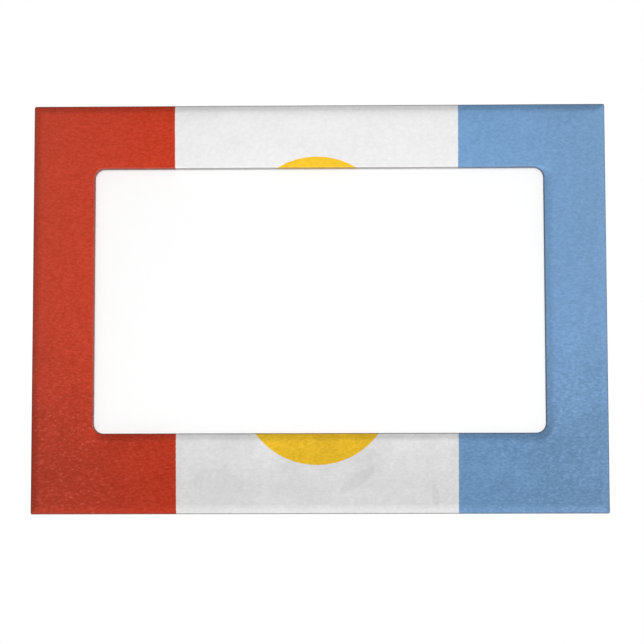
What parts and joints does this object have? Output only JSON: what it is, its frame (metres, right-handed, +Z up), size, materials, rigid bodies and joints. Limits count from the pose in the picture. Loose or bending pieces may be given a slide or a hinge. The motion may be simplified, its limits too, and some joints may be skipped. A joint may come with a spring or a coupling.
{
  "type": "magnetic photo frame",
  "caption": "Padded landscape photo frame with a film window, a top-loading photo pocket and a magnet sheet on its back that clings to a steel door.",
  "frame": {"origin": "centre of the magnet sheet's back face, the face that lies on the steel", "axes": "+Z up, +X to the right as the frame is looked at, +Y into the door, so the front faces -Y"},
  "size_m": [0.1778, 0.0065, 0.127],
  "materials": {
    "printed_leatherette": "satin",
    "foam": "matte",
    "grey_board": "matte",
    "clear_film": "gloss",
    "clear_tape": "satin",
    "card_strip": "matte",
    "white_card": "satin",
    "lining_paper": "matte",
    "plain_leatherette": "matte",
    "white_tape": "satin",
    "magnet_rubber": "matte"
  },
  "bodies": {
    "frame": {"front_cover": "printed_leatherette", "foam_pad": "foam", "front_board": "grey_board", "window_film": "clear_film", "film_tapes": "clear_tape", "left_spacer": "card_strip", "right_spacer": "card_strip", "bottom_spacer": "card_strip", "back_lining": "lining_paper", "back_board": "grey_board", "back_cover": "plain_leatherette", "magnet_tape": "white_tape", "magnet_sheet": "magnet_rubber"},
    "photo": {"photo_card": "white_card"}
  },
  "joints": [
    {"name": "photo_slide", "type": "slide", "parent": "frame", "child": "photo", "axis": [0, 0, 1], "range_m": [0, 0.115]}
  ]
}
